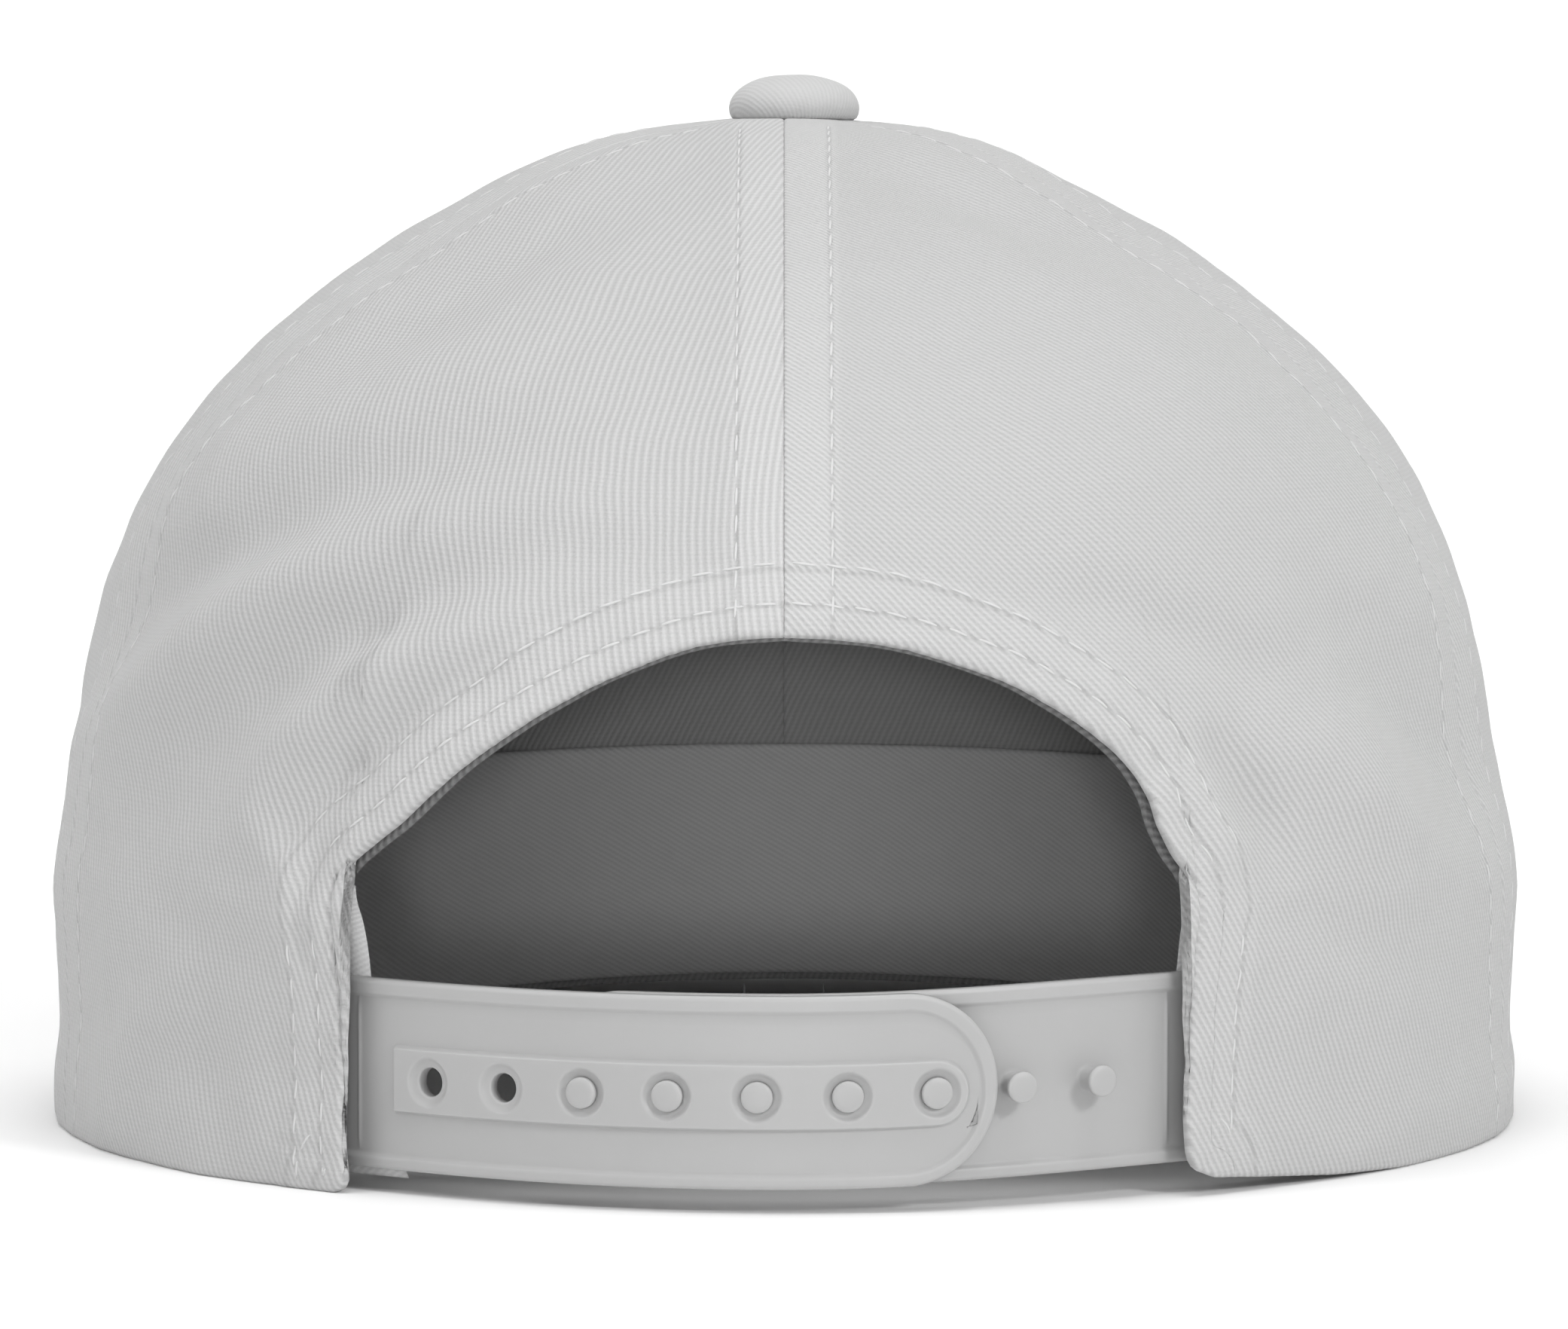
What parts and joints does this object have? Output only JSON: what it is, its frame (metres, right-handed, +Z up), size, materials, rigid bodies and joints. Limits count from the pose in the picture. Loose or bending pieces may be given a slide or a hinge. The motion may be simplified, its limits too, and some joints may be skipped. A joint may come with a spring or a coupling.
{
  "type": "snapback cap",
  "caption": "Six-panel cloth cap with a stiff visor, a rear arch opening and a snap strap across it.",
  "frame": {"origin": "centre of the head opening, on the plane that the cap rests on", "axes": "+Z up, +X towards the cap's left, -Y towards the visor, +Y out of the rear opening"},
  "size_m": [0.1814, 0.2719, 0.1224],
  "materials": {
    "crown_cloth": "light grey cotton twill",
    "visor_cloth": "light grey cotton twill over a board",
    "band_cloth": "light grey cotton tape",
    "strap_plastic": "moulded, matt, light grey"
  },
  "bodies": {
    "root": {"panel_front_left": "crown_cloth", "panel_front_right": "crown_cloth", "panel_side_left": "crown_cloth", "panel_side_right": "crown_cloth", "panel_back_left": "crown_cloth", "panel_back_right": "crown_cloth", "top_button": "crown_cloth", "visor": "visor_cloth", "sweatband": "band_cloth", "arch_tape": "band_cloth", "strap_with_holes": "strap_plastic", "strap_with_pegs": "strap_plastic"}
  },
  "joints": []
}
